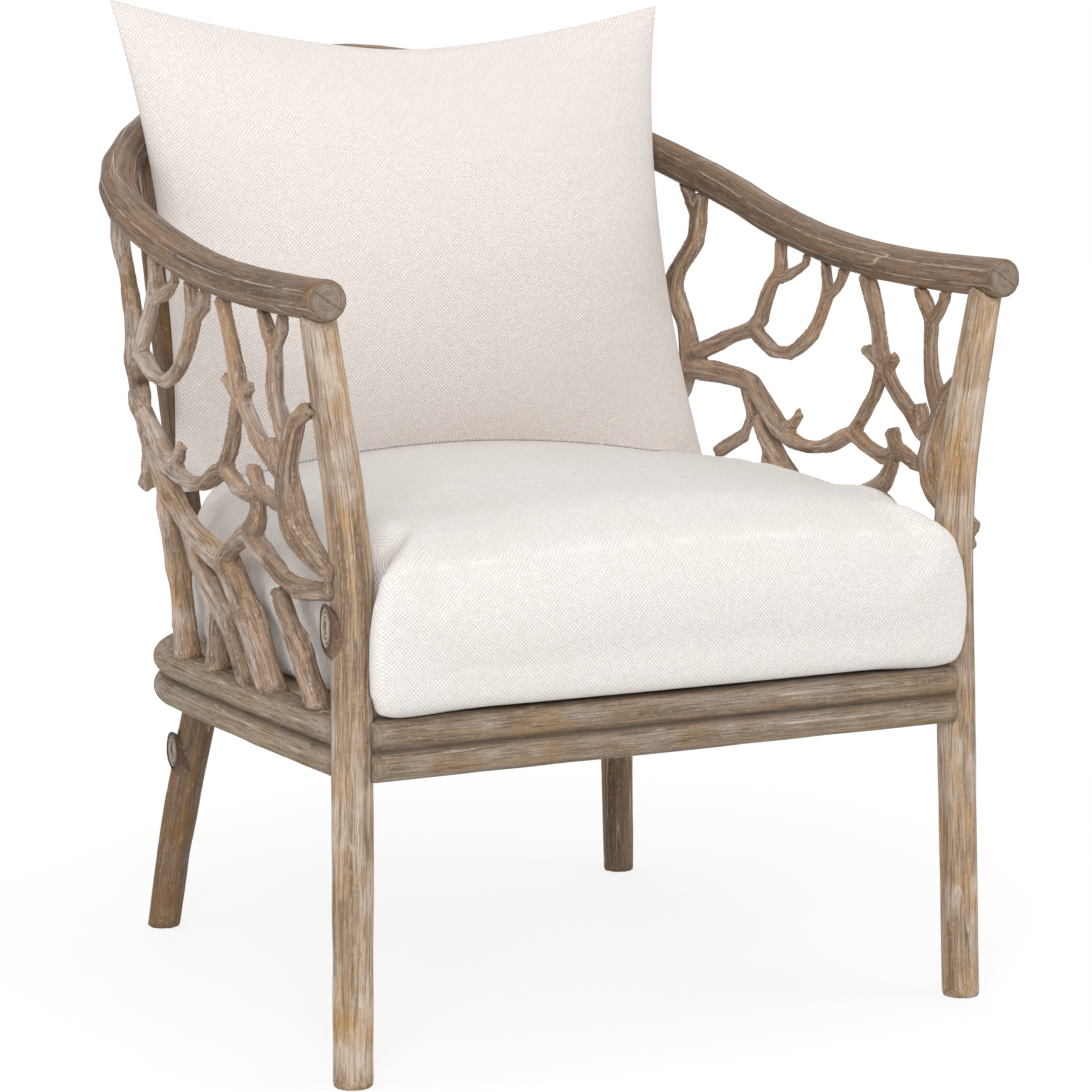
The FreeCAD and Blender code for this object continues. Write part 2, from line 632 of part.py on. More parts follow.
# Dowel across each joint of the top rail
joint = rail_at(rail_joint)
joint_axis = rail_at(rail_joint + 0.01) - rail_at(rail_joint - 0.01)
joint_axis.normalize()
dowel_start = joint - joint_axis * 16.0
dowel = pin(dowel_start, joint_axis, small_tenon_radius, 36.0)
dowel_hole = pin(dowel_start - joint_axis * 0.5, joint_axis, small_tenon_radius + tenon_clearance, 37.0)
arm = biggest(arm.cut(dowel_hole))
crest = biggest(crest.cut(dowel_hole).cut(flip(dowel_hole)))

pairs = {"front_post": post, "rear_leg": leg, "rear_stile": stile, "arm_rail": arm}
pairs["rail_dowel"] = dowel
pairs["side_seat_rail"] = side_rail
block_front, block_rear = make_blocks(front_rail, side_rail, rear_rail, post)
pairs["corner_block_front"] = block_front
pairs["corner_block_rear"] = block_rear

frame = [post, stile, arm, crest, front_rail, side_rail, rear_rail]
grown = []
for name, body in make_side_branches().items():
    body = cope(body, frame + grown)
    grown.append(body)
    pairs[name] = body
both = frame + [flip(stile), flip(arm)]
grown = []
for name, body in make_back_branches().items():
    body = cope(body, both + grown)
    grown.append(body)
    nodes[name] = body

nodes["front_seat_rail"] = front_rail
nodes["rear_seat_rail"] = rear_rail
nodes["crest_rail"] = crest
nodes["seat_deck"] = make_deck()
nodes["seat_cushion"] = make_cushion()
behind = [crest, nodes["back_wave"], arm, stile] + grown[1:5]
nodes["back_pillow"] = settle(make_pillow(), nodes["seat_cushion"], behind)
for name, body in pairs.items():
    nodes[name + "_left"] = body
    nodes[name + "_right"] = flip(body)
nodes["front_post_right"] = flip(biggest(post.fuse(post_knot)))
nodes["rear_leg_right"] = flip(biggest(leg.fuse(leg_knot)))

# Middle of the depth at the origin
middle = V(0.0, (cushion_front - rail_back - rail_radius) / 2.0, 0.0)
for name, body in nodes.items():
    body = body.copy()
    body.translate(middle)
    body.exportStep("parts/" + name + ".step")
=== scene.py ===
import bpy
import bmesh
import math
import numpy as np
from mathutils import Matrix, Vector
from mathutils.bvhtree import BVHTree


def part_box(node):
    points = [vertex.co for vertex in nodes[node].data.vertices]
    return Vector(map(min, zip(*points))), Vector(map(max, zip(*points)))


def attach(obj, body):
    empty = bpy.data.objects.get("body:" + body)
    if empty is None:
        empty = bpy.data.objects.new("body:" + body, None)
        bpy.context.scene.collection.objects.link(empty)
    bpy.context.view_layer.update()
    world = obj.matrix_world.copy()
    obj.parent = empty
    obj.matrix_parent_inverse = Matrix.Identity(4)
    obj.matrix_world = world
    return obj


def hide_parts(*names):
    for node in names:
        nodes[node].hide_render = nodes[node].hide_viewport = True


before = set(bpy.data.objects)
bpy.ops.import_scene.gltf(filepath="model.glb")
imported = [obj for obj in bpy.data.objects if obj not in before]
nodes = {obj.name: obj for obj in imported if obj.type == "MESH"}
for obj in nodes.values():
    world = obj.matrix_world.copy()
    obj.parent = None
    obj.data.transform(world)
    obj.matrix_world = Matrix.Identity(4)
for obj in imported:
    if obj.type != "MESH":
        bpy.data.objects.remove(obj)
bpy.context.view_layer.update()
scene = bpy.context.scene
scene.view_settings.view_transform = "Standard"


# mesh helpers
def readPoints(mesh):
    flat = np.zeros(len(mesh.vertices) * 3)
    mesh.vertices.foreach_get("co", flat)
    return flat.reshape(-1, 3)


def writePoints(mesh, points):
    mesh.vertices.foreach_set("co", points.astype(np.float32).ravel())
    mesh.update()


def readEdges(mesh):
    flat = np.zeros(len(mesh.edges) * 2, np.int32)
    mesh.edges.foreach_get("vertices", flat)
    return flat.reshape(-1, 2)


def readNormals(mesh):
    flat = np.zeros(len(mesh.vertices) * 3)
    mesh.vertex_normals.foreach_get("vector", flat)
    return flat.reshape(-1, 3)


def neighbourMean(values, edges):
    count = len(values)
    degree = np.bincount(edges.ravel(), minlength=count).astype(float)
    out = np.zeros_like(values)
    for k in range(values.shape[1]):
        total = np.bincount(edges[:, 0], weights=values[edges[:, 1], k], minlength=count)
        total += np.bincount(edges[:, 1], weights=values[edges[:, 0], k], minlength=count)
        out[:, k] = total / np.maximum(degree, 1)
    return out


# smooths and then pushes back, so that a round stick keeps its girth
def relax(points, edges, rounds, push=0.5, pull=-0.52):
    for i in range(rounds):
        points = points + push * (neighbourMean(points, edges) - points)
        points = points + pull * (neighbourMean(points, edges) - points)
    return points


def soften(points, edges, rounds, share=0.5):
    for i in range(rounds):
        points = points + share * (neighbourMean(points, edges) - points)
    return points


def writeAttribute(mesh, name, values):
    kind = "FLOAT_VECTOR" if values.ndim == 2 else "FLOAT"
    field = mesh.attributes.new(name, kind, "POINT")
    label = "vector" if values.ndim == 2 else "value"
    field.data.foreach_set(label, values.astype(np.float32).ravel())


# one fixed number from 0 to 1 for each cell of a grid
def cellHash(cells, seed):
    h = cells[:, 0] * 73856093 ^ cells[:, 1] * 19349663 ^ cells[:, 2] * 83492791 ^ (seed * 2654435761)
    h = (h ^ (h >> 13)) * 1274126177 & 0x7fffffff
    return ((h ^ (h >> 16)) & 0xffff) / 65535.0


def softNoise(points, seed):
    base = np.floor(points).astype(np.int64)
    f = points - base
    f = f * f * (3 - 2 * f)
    total = np.zeros(len(points))
    for dx in (0, 1):
        for dy in (0, 1):
            for dz in (0, 1):
                w = (f[:, 0] if dx else 1 - f[:, 0]) * (f[:, 1] if dy else 1 - f[:, 1])
                w = w * (f[:, 2] if dz else 1 - f[:, 2])
                total += w * cellHash(base + np.array([dx, dy, dz]), seed)
    return total * 2 - 1


def facetDepth(points, seed):
    base = np.floor(points).astype(np.int64)
    nearest = np.full(len(points), 9.0)
    for dx in (-1, 0, 1):
        for dy in (-1, 0, 1):
            for dz in (-1, 0, 1):
                cell = base + np.array([dx, dy, dz])
                spot = cell + np.stack([cellHash(cell, seed + k) for k in range(3)], 1)
                nearest = np.minimum(nearest, np.linalg.norm(points - spot, axis=1))
    return nearest ** 2  # low in the middle of a flat, high on the ridge between two


def newObject(name, mesh):
    piece = bpy.data.objects.new(name, mesh)
    scene.collection.objects.link(piece)
    return piece


def joinedCopy(name, names):
    whole = bmesh.new()
    for n in names:
        one = bmesh.new()
        one.from_mesh(nodes[n].data)
        bmesh.ops.remove_doubles(one, verts=one.verts, dist=1e-6)
        spare = bpy.data.meshes.new("spare")
        one.to_mesh(spare)
        one.free()
        whole.from_mesh(spare)
        bpy.data.meshes.remove(spare)
    mesh = bpy.data.meshes.new(name)
    whole.to_mesh(mesh)
    whole.free()
    return newObject(name, mesh)


def bakeModifiers(piece):
    graph = bpy.context.evaluated_depsgraph_get()
    mesh = bpy.data.meshes.new_from_object(piece.evaluated_get(graph))
    piece.modifiers.clear()
    piece.data = mesh
    mesh.name = piece.name


def remesh(piece, voxel):
    step = piece.modifiers.new("remesh", "REMESH")
    step.mode = "VOXEL"
    step.voxel_size = voxel
    bakeModifiers(piece)


def subdivide(piece):
    step = piece.modifiers.new("smooth", "SUBSURF")
    step.levels = 1
    step.render_levels = 1
    bakeModifiers(piece)


def coat(mesh, material):
    mesh.materials.clear()
    mesh.materials.append(material)


def shadeSmooth(piece):
    piece.data.polygons.foreach_set("use_smooth", np.ones(len(piece.data.polygons), bool))


# node helpers
class Tree:
    def __init__(self, tree):
        self.tree = tree

    def add(self, kind, links=(), **settings):
        node = self.tree.nodes.new(kind)
        for key, value in settings.items():
            setattr(node, key, value)
        for socket, value in links:
            if isinstance(value, bpy.types.NodeSocket):
                self.link(value, node.inputs[socket])
            else:
                node.inputs[socket].default_value = value
        return node

    def link(self, value, socket):
        self.tree.links.new(value, socket)

    def attribute(self, name, output="Fac"):
        return self.add("ShaderNodeAttribute", attribute_name=name).outputs[output]

    def place(self):
        return self.add("ShaderNodeTexCoord").outputs["Object"]

    def math(self, operation, a, b=0.0, clamp=False):
        return self.add("ShaderNodeMath", [(0, a), (1, b)], operation=operation, use_clamp=clamp).outputs[0]

    def vector(self, operation, a, b):
        return self.add("ShaderNodeVectorMath", [(0, a), (1, b)], operation=operation).outputs[0]

    def scaled(self, a, factor):
        return self.add("ShaderNodeVectorMath", [(0, a), ("Scale", factor)], operation="SCALE").outputs[0]

    def length(self, a):
        return self.add("ShaderNodeVectorMath", [(0, a)], operation="LENGTH").outputs["Value"]

    def noise(self, vector, scale, detail=3.0, rough=0.55, warp=0.0):
        node = self.add("ShaderNodeTexNoise", [("Vector", vector), ("Scale", scale), ("Detail", detail),
                                               ("Roughness", rough), ("Distortion", warp)])
        return node.outputs["Fac"]

    def ramp(self, factor, stops):
        node = self.add("ShaderNodeValToRGB", [("Fac", factor)])
        line = node.color_ramp
        while len(line.elements) < len(stops):
            line.elements.new(0.5)
        for element, (place, colour) in zip(line.elements, stops):
            element.position = place
            element.color = (*colour, 1.0)
        return node.outputs["Color"]

    def mix(self, factor, a, b, blend="MIX"):
        node = self.add("ShaderNodeMix", data_type="RGBA", blend_type=blend)
        for index, value in ((0, factor), (6, a), (7, b)):
            if isinstance(value, bpy.types.NodeSocket):
                self.link(value, node.inputs[index])
            else:
                node.inputs[index].default_value = value if index == 0 else (*value, 1.0)
        return node.outputs[2]

    def stain(self, base, mask, share, colour):
        return self.mix(self.math("MULTIPLY", mask, share), base, colour)

    def span(self, value, low, high, toLow=0.0, toHigh=1.0):
        node = self.add("ShaderNodeMapRange", [("Value", value), ("From Min", low), ("From Max", high),
                                               ("To Min", toLow), ("To Max", toHigh)])
        return node.outputs[0]

    def line(self, value, centre, wide):
        away = self.math("ABSOLUTE", self.math("SUBTRACT", value, centre))
        return self.span(away, 0.0, wide, 1.0, 0.0)

    def bump(self, height, strength, deep):
        node = self.add("ShaderNodeBump", [("Strength", strength), ("Distance", deep), ("Height", height)])
        return node.outputs["Normal"]


def newMaterial(name):
    material = bpy.data.materials.new(name)
    material.use_nodes = True
    tree = Tree(material.node_tree)
    shader = material.node_tree.nodes["Principled BSDF"]
    return material, tree, shader


limedLook = {"streak": 75.0, "fibre": 560.0, "pore": 2300.0, "fleck": 1250.0, "patch": 300.0, "seam": 46.0,
             "seamWide": 0.005, "upperLine": 0.42, "lowerLine": -0.38, "lineWide": 0.045, "darkShare": 0.62,
             "poreShare": 0.40, "seamShare": 0.55, "dirtAndShadeShare": 0.9, "ochrePatch": 17.0, "greyPatch": 23.0,
             "breaks": 42.0, "gloss": 0.22, "bump": 0.5, "deep": 0.0013}
# the dirt tone serves as real dirt and as painted shade in the seat rails' bead groove
limedTones = {"streak": [(0.30, (0.120, 0.080, 0.052)), (0.44, (0.255, 0.180, 0.122)),
                         (0.55, (0.370, 0.275, 0.196)), (0.70, (0.470, 0.375, 0.290))],
              "ochre": (0.40, 0.250, 0.105), "grey": (0.47, 0.415, 0.375), "dark": (0.080, 0.054, 0.038),
              "pore": (0.070, 0.048, 0.034), "lime": (0.70, 0.63, 0.55), "seam": (0.64, 0.57, 0.48),
              "dirt": (0.046, 0.031, 0.022)}


# limed grey-brown wood, its grain running along each stick
def limedWood(name, tint, ochreShare, greyShare, limeShare):
    material, t, shader = newMaterial(name)
    look = limedLook
    tone = limedTones
    grain = t.attribute("grain", "Vector")
    hollow = t.attribute("hollow")
    girth = t.attribute("girth")
    place = t.place()
    streak = t.noise(grain, look["streak"], 5.0, 0.62, 0.5)
    fibre = t.noise(grain, look["fibre"], 4.0, 0.68)
    base = t.ramp(streak, tone["streak"])
    ochre = t.noise(grain, look["streak"] * 0.5, 2.0)
    ochre = t.math("MULTIPLY", ochre, t.noise(place, look["ochrePatch"], 2.0))
    base = t.stain(base, t.span(ochre, 0.25, 0.36), ochreShare, tone["ochre"])
    grey = t.noise(grain, look["streak"] * 0.7, 3.0)
    grey = t.math("MULTIPLY", grey, t.noise(place, look["greyPatch"], 2.0))
    base = t.stain(base, t.span(grey, 0.24, 0.36), greyShare, tone["grey"])
    base = t.mix(1.0, base, tint, "MULTIPLY")
    base = t.stain(base, t.span(fibre, 0.38, 0.54, 1.0, 0.0), look["darkShare"], tone["dark"])
    pore = t.span(t.noise(grain, look["pore"], 2.0, 0.7), 0.56, 0.66)
    base = t.stain(base, pore, look["poreShare"], tone["pore"])
    fleck = t.span(t.noise(grain, look["fleck"], 3.0, 0.7), 0.54, 0.66)
    patch = t.span(t.noise(place, look["patch"], 2.0), 0.38, 0.60)
    base = t.stain(base, t.math("MULTIPLY", fleck, patch), limeShare, tone["lime"])
    # pale lines: short ones in the grain, and long broken ones where a bent rail was glued up
    seam = t.line(t.noise(grain, look["seam"], 1.0), 0.5, look["seamWide"])
    upper = t.line(girth, look["upperLine"], look["lineWide"])
    lower = t.line(girth, look["lowerLine"], look["lineWide"])
    broken = t.span(t.noise(place, look["breaks"], 2.0), 0.36, 0.52)
    seam = t.math("MAXIMUM", seam, t.math("MULTIPLY", t.math("MAXIMUM", upper, lower), broken))
    base = t.stain(base, seam, look["seamShare"], tone["seam"])
    # darkened by the hollow mask: real dirt in grain grooves, lattice hollows and round knots, and painted
    # shade in the seat rails' bead groove
    base = t.stain(base, hollow, look["dirtAndShadeShare"], tone["dirt"])
    t.link(base, shader.inputs["Base Color"])
    shader.inputs["Specular IOR Level"].default_value = look["gloss"]
    t.link(t.span(fibre, 0.3, 0.7, 0.74, 0.48), shader.inputs["Roughness"])
    sunk = t.math("ADD", t.math("MULTIPLY", seam, -0.5), t.math("MULTIPLY", pore, -0.3))
    t.link(t.bump(t.math("ADD", fibre, sunk), look["bump"], look["deep"]), shader.inputs["Normal"])
    return material


linenLook = {"thread": 0.0035, "wander": 95.0, "shift": 0.0028, "slub": 260.0, "turnSharp": 22.0,
             "cloud": 16.0, "cloudTone": (0.70, 0.63, 0.55), "cloudShare": 0.10, "rough": 0.92,
             "gloss": 0.18, "sheen": 0.12, "bump": 0.9, "deep": 0.0009}


# cream basket-weave linen, the weave chosen by the way the cloth faces
def creamLinen(name, colour, shade):
    material, t, shader = newMaterial(name)
    look = linenLook
    place = t.place()
    facing = t.attribute("facing", "Vector")
    wander = t.add("ShaderNodeTexNoise", [("Vector", place), ("Scale", look["wander"]), ("Detail", 2.0)])
    centred = t.vector("SUBTRACT", wander.outputs["Color"], (0.5, 0.5, 0.5))
    spot = t.vector("ADD", place, t.scaled(centred, look["shift"]))
    axes = t.add("ShaderNodeSeparateXYZ", [(0, spot)]).outputs
    ways = t.add("ShaderNodeSeparateXYZ", [(0, facing)]).outputs
    turn = 2 * math.pi / look["thread"]
    waves = [t.math("SINE", t.math("MULTIPLY", axes[k], turn)) for k in range(3)]
    weights = [t.math("POWER", t.math("ABSOLUTE", ways[k]), look["turnSharp"]) for k in range(3)]
    total = t.math("ADD", t.math("ADD", weights[0], weights[1]), weights[2])
    woven = None
    for k in range(3):
        cross = t.math("MULTIPLY", waves[(k + 1) % 3], waves[(k + 2) % 3])
        part = t.math("MULTIPLY", cross, t.math("DIVIDE", weights[k], total))
        woven = part if woven is None else t.math("ADD", woven, part)
    slub = t.noise(place, look["slub"], 3.0, 0.6)
    height = t.math("ADD", t.math("MULTIPLY", woven, 0.5), t.math("MULTIPLY", slub, 0.55))
    # darker where the weave sinks: painted shade between the threads, with the yarn's own uneven tone from
    # the slubs
    base = t.mix(t.span(height, -0.15, 0.75), [c * shade for c in colour], colour)
    cloudy = t.span(t.noise(place, look["cloud"], 2.0), 0.40, 0.70)
    base = t.stain(base, cloudy, look["cloudShare"], look["cloudTone"])
    t.link(base, shader.inputs["Base Color"])
    shader.inputs["Roughness"].default_value = look["rough"]
    shader.inputs["Specular IOR Level"].default_value = look["gloss"]
    shader.inputs["Sheen Weight"].default_value = look["sheen"]
    t.link(t.bump(height, look["bump"], look["deep"]), shader.inputs["Normal"])
    return material


timberLook = {"run": (6.0, 90.0, 90.0), "dark": 0.72, "pale": 1.12, "rough": 0.78, "bump": 0.2,
              "deep": 0.0006}


# pale unfinished timber for the inner pieces
def innerTimber(name, colour):
    material, t, shader = newMaterial(name)
    look = timberLook
    run = t.add("ShaderNodeMapping", [("Vector", t.place()), ("Scale", look["run"])]).outputs[0]
    streak = t.noise(run, 1.0, 4.0, 0.6, 0.6)
    base = t.ramp(streak, [(0.32, [c * look["dark"] for c in colour]), (0.52, colour),
                           (0.70, [c * look["pale"] for c in colour])])
    t.link(base, shader.inputs["Base Color"])
    shader.inputs["Roughness"].default_value = look["rough"]
    t.link(t.bump(streak, look["bump"], look["deep"]), shader.inputs["Normal"])
    return material


cutLook = {"waves": 30.0, "wobble": 180.0, "wobbleShare": 3.0, "speck": 1300.0, "speckShare": 0.30,
           "speckTone": (0.56, 0.49, 0.41), "rimShare": 0.6, "rimTone": (0.10, 0.07, 0.05),
           "checkTone": (0.09, 0.062, 0.045), "checkWay": (0.55, 0.83), "rough": 0.8, "gloss": 0.25,
           "bump": 0.5, "deep": 0.0010}


# cut face with growth rings; a drying check may run across it
def ringedWood(name, dark, middle, pale, checkShare):
    material, t, shader = newMaterial(name)
    look = cutLook
    ring = t.attribute("ring")
    disc = t.attribute("disc", "Vector")
    place = t.place()
    wobble = t.math("MULTIPLY", t.noise(place, look["wobble"], 3.0), look["wobbleShare"])
    reach = t.math("ADD", t.math("MULTIPLY", ring, look["waves"]), wobble)
    wave = t.span(t.math("SINE", reach), -1.0, 1.0)
    base = t.ramp(wave, [(0.15, dark), (0.5, middle), (0.85, pale)])
    speck = t.span(t.noise(place, look["speck"], 2.0), 0.45, 0.65)
    base = t.stain(base, speck, look["speckShare"], look["speckTone"])
    base = t.stain(base, t.span(ring, 0.86, 0.97), look["rimShare"], look["rimTone"])
    axes = t.add("ShaderNodeSeparateXYZ", [(0, disc)]).outputs
    slant = [t.math("MULTIPLY", axes[k], look["checkWay"][k]) for k in range(2)]
    across = t.math("ABSOLUTE", t.math("ADD", slant[0], slant[1]))
    base = t.mix(t.span(across, 0.02, 0.06, checkShare, 0.0), base, look["checkTone"])
    t.link(base, shader.inputs["Base Color"])
    shader.inputs["Roughness"].default_value = look["rough"]
    shader.inputs["Specular IOR Level"].default_value = look["gloss"]
    t.link(t.bump(wave, look["bump"], look["deep"]), shader.inputs["Normal"])
    return material


# each wood: its tint, then the shares of ochre, grey and lime; the leg and rail tints are darker partly as
# painted shade, for the legs, stiles, arm rails and crest rail that lay in shadow, and partly the wood's own
# tone
shadedRailWood = limedWood("limed_rail_wood_shaded", (0.62, 0.52, 0.44), 0.55, 0.35, 0.35)
seatRailWood = limedWood("limed_seat_rail_wood", (0.76, 0.73, 0.68), 0.45, 0.60, 0.50)
postWood = limedWood("limed_post_wood", (1.24, 1.17, 1.07), 0.80, 0.70, 0.55)
shadedLegWood = limedWood("limed_leg_wood_shaded", (0.57, 0.49, 0.42), 0.80, 0.25, 0.40)
branchWood = limedWood("limed_branch_wood", (1.10, 1.015, 0.98), 0.45, 0.80, 0.70)
seatLinen = creamLinen("seat_linen", (0.855, 0.815, 0.780), 0.73)
pillowLinen = creamLinen("pillow_linen", (0.865, 0.800, 0.760), 0.73)
blockWood = innerTimber("block_wood", (0.50, 0.37, 0.24))
deckWood = innerTimber("deck_wood", (0.56, 0.44, 0.30))
railEndWood = ringedWood("rail_end_wood", (0.22, 0.160, 0.115), (0.33, 0.255, 0.190),
                         (0.44, 0.360, 0.285), 0.7)
knotWood = ringedWood("knot_wood", (0.060, 0.042, 0.032), (0.20, 0.150, 0.115), (0.50, 0.43, 0.365), 0.0)
print("materials ready")


ringLook = {"around": 56, "tube": 6, "first": 0.55, "wander": 120.0, "stray": (0.0022, 0.0022, 0.0)}


# growth rings on a cut end: circles of even step, a little out of round, on a thin disc
def ringTree():
    look = ringLook
    tree = bpy.data.node_groups.new("growth_rings", "GeometryNodeTree")
    face = tree.interface
    for label, kind, start in (("Radius", "NodeSocketFloat", 0.015), ("Rings", "NodeSocketInt", 6),
                               ("Relief", "NodeSocketFloat", 0.0004), ("Seed", "NodeSocketFloat", 1.0),
                               ("Material", "NodeSocketMaterial", None)):
        socket = face.new_socket(label, in_out="INPUT", socket_type=kind)
        if start is not None:
            socket.default_value = start
    face.new_socket("Geometry", in_out="OUTPUT", socket_type="NodeSocketGeometry")
    g = Tree(tree)
    given = g.add("NodeGroupInput").outputs
    number = g.add("GeometryNodeInputIndex").outputs[0]
    share = g.math("DIVIDE", g.math("ADD", number, look["first"]), given["Rings"])
    size = g.math("MULTIPLY", share, given["Radius"])
    spots = g.add("GeometryNodePoints", [("Count", given["Rings"]),
                                         ("Position", (0.0, 0.0, 0.0))]).outputs[0]
    circle = g.add("GeometryNodeCurvePrimitiveCircle", [("Resolution", look["around"]),
                                                        ("Radius", 1.0)]).outputs[0]
    scale = g.add("ShaderNodeCombineXYZ", [(0, size), (1, size), (2, size)]).outputs[0]
    rings = g.add("GeometryNodeInstanceOnPoints", [("Points", spots), ("Instance", circle),
                                                   ("Scale", scale)]).outputs[0]
    rings = g.add("GeometryNodeRealizeInstances", [("Geometry", rings)]).outputs[0]
    profile = g.add("GeometryNodeCurvePrimitiveCircle", [("Resolution", look["tube"]),
                                                         ("Radius", given["Relief"])]).outputs[0]
    rings = g.add("GeometryNodeCurveToMesh", [("Curve", rings), ("Profile Curve", profile)]).outputs[0]
    disc = g.add("GeometryNodeMeshCircle", [("Vertices", look["around"]), ("Radius", given["Radius"])],
                 fill_type="NGON").outputs[0]
    both = g.add("GeometryNodeJoinGeometry")
    g.link(rings, both.inputs[0])
    g.link(disc, both.inputs[0])
    place = g.add("GeometryNodeInputPosition").outputs[0]
    reach = g.math("DIVIDE", g.length(place), given["Radius"])
    inDisc = g.scaled(place, g.math("DIVIDE", 1.0, given["Radius"]))
    marked = both.outputs[0]
    for label, value, kind in (("ring", reach, "FLOAT"), ("disc", inDisc, "FLOAT_VECTOR")):
        marked = g.add("GeometryNodeStoreNamedAttribute",
                       [("Geometry", marked), ("Name", label), ("Value", value)],
                       data_type=kind, domain="POINT").outputs[0]
    wander = g.add("ShaderNodeTexNoise", [("Vector", place), ("W", given["Seed"]), ("Scale", look["wander"]),
                                          ("Detail", 1.0)], noise_dimensions="4D").outputs["Color"]
    push = g.vector("MULTIPLY", g.vector("SUBTRACT", wander, (0.5, 0.5, 0.5)), look["stray"])
    fade = g.math("SUBTRACT", 1.0, g.math("POWER", reach, 4.0), True)
    offset = g.scaled(push, fade)
    moved = g.add("GeometryNodeSetPosition", [("Geometry", marked), ("Offset", offset)]).outputs[0]
    whole = g.add("GeometryNodeRealizeInstances", [("Geometry", moved)]).outputs[0]
    coated = g.add("GeometryNodeSetMaterial", [("Geometry", whole),
                                               ("Material", given["Material"])]).outputs[0]
    g.add("NodeGroupOutput", [("Geometry", coated)])
    return tree


ringNodes = ringTree()


def cutEnd(name, radius, rings, relief, seed, spot, facing, tall, wood):
    piece = newObject(name, bpy.data.meshes.new(name))
    step = piece.modifiers.new("rings", "NODES")
    step.node_group = ringNodes
    values = {"Radius": radius, "Rings": rings, "Relief": relief, "Seed": seed, "Material": wood}
    for item in ringNodes.interface.items_tree:
        if item.in_out == "INPUT":
            step[item.identifier] = values[item.name]
    bakeModifiers(piece)
    mesh = piece.data
    points = readPoints(mesh)
    points[:, 1] *= tall
    turn = Vector(facing).to_track_quat("Z", "Y").to_matrix()
    writePoints(mesh, points @ np.array(turn).T + np.array(spot))
    shadeSmooth(piece)
    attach(piece, "frame")
    return piece


armEndLook = {"radius": 0.0147, "rings": 7, "relief": 0.00016, "seed": 2.0, "out": 0.3196, "front": -0.3408,
              "height": 0.640}
for side, label in ((1, "left"), (-1, "right")):
    a = armEndLook
    cutEnd("arm_end_rings_" + label, a["radius"], a["rings"], a["relief"], a["seed"] + side,
           (side * a["out"], a["front"], a["height"]), (0, -1, 0), 1.0, railEndWood)

# knots: a stub that climbs out of the post, sawn off upright, with a dark lip round its rings
knotLook = {"rise": 0.85, "depth": 0.019, "lip": 0.84, "rings": 4, "relief": 0.00055, "around": 44,
            "ringsIn": 0.0010, "ringsGap": 0.01, "uneven": (0.03, 0.02), "core": 0.013, "stretch": 0.05}
# each knot: its place, half its width, half its height and its seed
knotSpots = {"post_knot": ((-0.3135, -0.3141, 0.377), 0.0118, 0.0212, 5.0),
             "leg_knot": ((-0.2515, 0.1990, 0.178), 0.0145, 0.0195, 8.0)}


def knotStub(name, spot, halfWide, halfTall, seed):
    k = knotLook
    deep = k["depth"]
    lip = k["lip"]
    count = k["around"]
    bend, bump = k["uneven"]
    # size, distance inwards and darkness of each ring of points, from the buried end to the sawn face
    profile = [(0.72, deep, 0.0), (0.94, deep * 0.6, 0.0), (1.02, deep * 0.25, 0.1), (1.0, 0.0022, 0.4),
               (0.98, 0.0008, 0.7), (0.93, 0.0, 0.75), (lip + 0.03, 0.0004, 0.8), (lip, 0.0016, 0.9),
               (0.5, 0.0014, 0.3)]
    points, dark, faces = [], [], []
    for size, inward, shade in profile:
        for i in range(count):
            turn = 2 * math.pi * i / count
            uneven = 1 + bend * math.sin(3 * turn + seed) + bump * math.sin(5 * turn + 2 * seed)
            points.append((spot[0] + inward, spot[1] + halfWide * size * uneven * math.cos(turn),
                           spot[2] + halfTall * size * uneven * math.sin(turn) - inward * k["rise"]))
            dark.append(shade)
    for j in range(len(profile) - 1):
        for i in range(count):
            n = (i + 1) % count
            faces.append((j * count + i, (j + 1) * count + i, (j + 1) * count + n, j * count + n))
    faces.append(tuple((len(profile) - 1) * count + i for i in range(count)))
    faces.append(tuple(reversed(range(count))))
    mesh = bpy.data.meshes.new(name)
    mesh.from_pydata(points, [], faces)
    shape = bmesh.new()
    shape.from_mesh(mesh)
    bmesh.ops.recalc_face_normals(shape, faces=shape.faces)
    shape.to_mesh(mesh)
    shape.free()
    piece = newObject(name, mesh)
    writeAttribute(mesh, "grain", readNormals(mesh) * k["core"] + readPoints(mesh) * k["stretch"])
    writeAttribute(mesh, "hollow", np.array(dark))
    coat(mesh, shadedLegWood)
    shadeSmooth(piece)
    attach(piece, "frame")
    cutEnd(name + "_rings", halfWide * (lip - k["ringsGap"]), k["rings"], k["relief"], seed,
           (spot[0] + k["ringsIn"], spot[1], spot[2]), (-1, 0, 0), halfTall / halfWide, knotWood)


for name, place in knotSpots.items():
    knotStub(name, *place)
print("cut ends and knots done")


# posts, legs and rails: round, nearly smooth, with the grain running along them
turnedLook = {"voxel": 0.0022, "rounds": 5, "slice": 0.004, "wave": 0.0004, "waves": 28.0,
              "groove": 0.00022, "grooves": 420.0, "core": 0.017, "stretch": 0.045, "seedStep": 0.013,
              "acrossRounds": 6, "dirtSlope": 0.5, "dirtStart": 0.18, "dirt": 0.5, "beadGrooveShade": 0.9,
              "beadGrooveShadeWide": 0.0026}
knotSpans = {"front_post_right": (0.318, 0.408), "rear_leg_right": (0.134, 0.222)}
bentRails = ("arm_rail_left", "arm_rail_right", "crest_rail")


# take a plain stub back to the round of its post, where a carved knot stands in its place
def trimStub(points, low, high):
    ends = []
    for level in (low, high):
        near = points[np.abs(points[:, 2] - level) < turnedLook["slice"]]
        centre = near.mean(0)
        ends.append((centre, np.linalg.norm((near - centre)[:, :2], axis=1).mean()))
    (first, lowRadius), (last, highRadius) = ends
    share = (points[:, 2] - first[2]) / (last[2] - first[2])
    axis = first + share[:, None] * (last - first)
    off = (points - axis)[:, :2]
    far = np.linalg.norm(off, axis=1)
    limit = lowRadius + (highRadius - lowRadius) * share
    proud = (share > 0) & (share < 1) & (far > limit)
    out = points.copy()
    out[:, :2] = axis[:, :2] + off * np.where(proud, limit / np.maximum(far, 1e-9), 1.0)[:, None]
    return out


